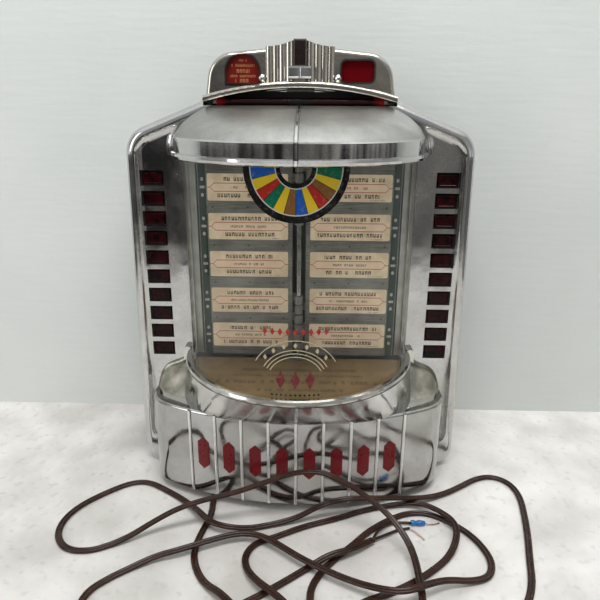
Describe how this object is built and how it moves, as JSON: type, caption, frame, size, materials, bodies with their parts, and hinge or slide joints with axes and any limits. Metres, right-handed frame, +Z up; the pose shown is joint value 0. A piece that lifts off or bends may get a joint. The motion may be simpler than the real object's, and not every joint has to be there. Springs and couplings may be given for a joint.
{
  "type": "jukebox wall box selector",
  "caption": "Chrome wall box selector with push keys down both wings, a half-round window over hinged title leaves, a domed hood, a bow-fronted console and a coin crown.",
  "frame": {"origin": "middle of the footprint on the surface that the box stands on", "axes": "+X to the right and +Y to the back as the box is read from the front, +Z up"},
  "size_m": [0.4417, 0.3288, 0.425],
  "materials": {
    "polished_chrome": "polished",
    "satin_chrome": "satin",
    "grey_enamel": "satin",
    "zinc_steel": "satin",
    "black_moulding": "matte",
    "brown_laminate": "matte",
    "contact_bronze": "satin",
    "clear_acrylic": "polished",
    "lamp_glass": "matte",
    "white_moulding": "satin",
    "red_enamel": "gloss",
    "gold_card": "matte",
    "leaf_metal": "satin",
    "strip_card": "matte",
    "green_enamel": "satin",
    "red_card": "satin",
    "black_enamel": "matte",
    "red_glass": "polished",
    "brown_vinyl": "satin",
    "blue_vinyl": "gloss",
    "copper_wire": "satin",
    "red_keys": "gloss"
  },
  "bodies": {
    "casing": {"front_frame": "polished_chrome", "rear_casing": "grey_enamel", "back_plate": "grey_enamel", "back_screws": "zinc_steel", "key_guides": "black_moulding", "contact_rails": "brown_laminate", "contact_blades": "contact_bronze", "window_lens": "clear_acrylic", "window_rim": "polished_chrome", "lens_channels": "zinc_steel", "hood": "satin_chrome", "lamp_tube": "lamp_glass", "lamp_holders": "white_moulding", "console": "polished_chrome", "bay_inlays": "red_enamel", "cash_box": "zinc_steel", "program_shelf": "gold_card", "back_leaves": "leaf_metal", "strips_back": "strip_card", "book_panel": "green_enamel", "book_spindle": "zinc_steel", "crown": "polished_chrome", "crown_screws": "polished_chrome", "card_arched": "red_card", "card_square": "red_card", "coin_chute": "zinc_steel", "light_trough": "black_enamel", "light_rod": "red_glass", "light_rod_caps": "zinc_steel", "coin_mechanism": "zinc_steel", "cord_gland": "brown_vinyl", "cord": "brown_vinyl", "crimp_connector": "blue_vinyl", "cord_leads": "copper_wire"},
    "key_left_01_body": {"key_left_01": "red_keys"},
    "key_left_02_body": {"key_left_02": "red_keys"},
    "key_left_03_body": {"key_left_03": "red_keys"},
    "key_left_04_body": {"key_left_04": "red_keys"},
    "key_left_05_body": {"key_left_05": "red_keys"},
    "key_left_06_body": {"key_left_06": "red_keys"},
    "key_left_07_body": {"key_left_07": "red_keys"},
    "key_left_08_body": {"key_left_08": "red_keys"},
    "key_left_09_body": {"key_left_09": "red_keys"},
    "key_left_10_body": {"key_left_10": "red_keys"},
    "key_right_01_body": {"key_right_01": "red_keys"},
    "key_right_02_body": {"key_right_02": "red_keys"},
    "key_right_03_body": {"key_right_03": "red_keys"},
    "key_right_04_body": {"key_right_04": "red_keys"},
    "key_right_05_body": {"key_right_05": "red_keys"},
    "key_right_06_body": {"key_right_06": "red_keys"},
    "key_right_07_body": {"key_right_07": "red_keys"},
    "key_right_08_body": {"key_right_08": "red_keys"},
    "key_right_09_body": {"key_right_09": "red_keys"},
    "key_right_10_body": {"key_right_10": "red_keys"},
    "leaf_left_body": {"leaf_left": "leaf_metal", "strips_left": "strip_card"},
    "leaf_right_body": {"leaf_right": "leaf_metal", "strips_right": "strip_card"},
    "return_body": {"coin_return_button": "polished_chrome"}
  },
  "joints": [
    {"name": "key_left_01_press", "type": "slide", "parent": "casing", "child": "key_left_01_body", "axis": [0, 1, 0], "range_m": [0, 0.0035], "stiffness_N_per_m": 250, "springref_m": -0.0015},
    {"name": "key_left_02_press", "type": "slide", "parent": "casing", "child": "key_left_02_body", "axis": [0, 1, 0], "range_m": [0, 0.0035], "stiffness_N_per_m": 250, "springref_m": -0.0015},
    {"name": "key_left_03_press", "type": "slide", "parent": "casing", "child": "key_left_03_body", "axis": [0, 1, 0], "range_m": [0, 0.0035], "stiffness_N_per_m": 250, "springref_m": -0.0015},
    {"name": "key_left_04_press", "type": "slide", "parent": "casing", "child": "key_left_04_body", "axis": [0, 1, 0], "range_m": [0, 0.0035], "stiffness_N_per_m": 250, "springref_m": -0.0015},
    {"name": "key_left_05_press", "type": "slide", "parent": "casing", "child": "key_left_05_body", "axis": [0, 1, 0], "range_m": [0, 0.0035], "stiffness_N_per_m": 250, "springref_m": -0.0015},
    {"name": "key_left_06_press", "type": "slide", "parent": "casing", "child": "key_left_06_body", "axis": [0, 1, 0], "range_m": [0, 0.0035], "stiffness_N_per_m": 250, "springref_m": -0.0015},
    {"name": "key_left_07_press", "type": "slide", "parent": "casing", "child": "key_left_07_body", "axis": [0, 1, 0], "range_m": [0, 0.0035], "stiffness_N_per_m": 250, "springref_m": -0.0015},
    {"name": "key_left_08_press", "type": "slide", "parent": "casing", "child": "key_left_08_body", "axis": [0, 1, 0], "range_m": [0, 0.0035], "stiffness_N_per_m": 250, "springref_m": -0.0015},
    {"name": "key_left_09_press", "type": "slide", "parent": "casing", "child": "key_left_09_body", "axis": [0, 1, 0], "range_m": [0, 0.0035], "stiffness_N_per_m": 250, "springref_m": -0.0015},
    {"name": "key_left_10_press", "type": "slide", "parent": "casing", "child": "key_left_10_body", "axis": [0, 1, 0], "range_m": [0, 0.0035], "stiffness_N_per_m": 250, "springref_m": -0.0015},
    {"name": "key_right_01_press", "type": "slide", "parent": "casing", "child": "key_right_01_body", "axis": [0, 1, 0], "range_m": [0, 0.0035], "stiffness_N_per_m": 250, "springref_m": -0.0015},
    {"name": "key_right_02_press", "type": "slide", "parent": "casing", "child": "key_right_02_body", "axis": [0, 1, 0], "range_m": [0, 0.0035], "stiffness_N_per_m": 250, "springref_m": -0.0015},
    {"name": "key_right_03_press", "type": "slide", "parent": "casing", "child": "key_right_03_body", "axis": [0, 1, 0], "range_m": [0, 0.0035], "stiffness_N_per_m": 250, "springref_m": -0.0015},
    {"name": "key_right_04_press", "type": "slide", "parent": "casing", "child": "key_right_04_body", "axis": [0, 1, 0], "range_m": [0, 0.0035], "stiffness_N_per_m": 250, "springref_m": -0.0015},
    {"name": "key_right_05_press", "type": "slide", "parent": "casing", "child": "key_right_05_body", "axis": [0, 1, 0], "range_m": [0, 0.0035], "stiffness_N_per_m": 250, "springref_m": -0.0015},
    {"name": "key_right_06_press", "type": "slide", "parent": "casing", "child": "key_right_06_body", "axis": [0, 1, 0], "range_m": [0, 0.0035], "stiffness_N_per_m": 250, "springref_m": -0.0015},
    {"name": "key_right_07_press", "type": "slide", "parent": "casing", "child": "key_right_07_body", "axis": [0, 1, 0], "range_m": [0, 0.0035], "stiffness_N_per_m": 250, "springref_m": -0.0015},
    {"name": "key_right_08_press", "type": "slide", "parent": "casing", "child": "key_right_08_body", "axis": [0, 1, 0], "range_m": [0, 0.0035], "stiffness_N_per_m": 250, "springref_m": -0.0015},
    {"name": "key_right_09_press", "type": "slide", "parent": "casing", "child": "key_right_09_body", "axis": [0, 1, 0], "range_m": [0, 0.0035], "stiffness_N_per_m": 250, "springref_m": -0.0015},
    {"name": "key_right_10_press", "type": "slide", "parent": "casing", "child": "key_right_10_body", "axis": [0, 1, 0], "range_m": [0, 0.0035], "stiffness_N_per_m": 250, "springref_m": -0.0015},
    {"name": "coin_return_press", "type": "slide", "parent": "casing", "child": "return_body", "axis": [0, 1, 0], "range_m": [0, 0.004], "stiffness_N_per_m": 300, "springref_m": -0.0015},
    {"name": "leaf_left_turn", "type": "hinge", "parent": "casing", "child": "leaf_left_body", "pos_m": [0, 0.01487, 0.225], "axis": [0, 0, 1], "range_deg": [0, 176]},
    {"name": "leaf_right_turn", "type": "hinge", "parent": "casing", "child": "leaf_right_body", "pos_m": [0, 0.01487, 0.225], "axis": [0, 0, 1], "range_deg": [-176, 0]}
  ]
}
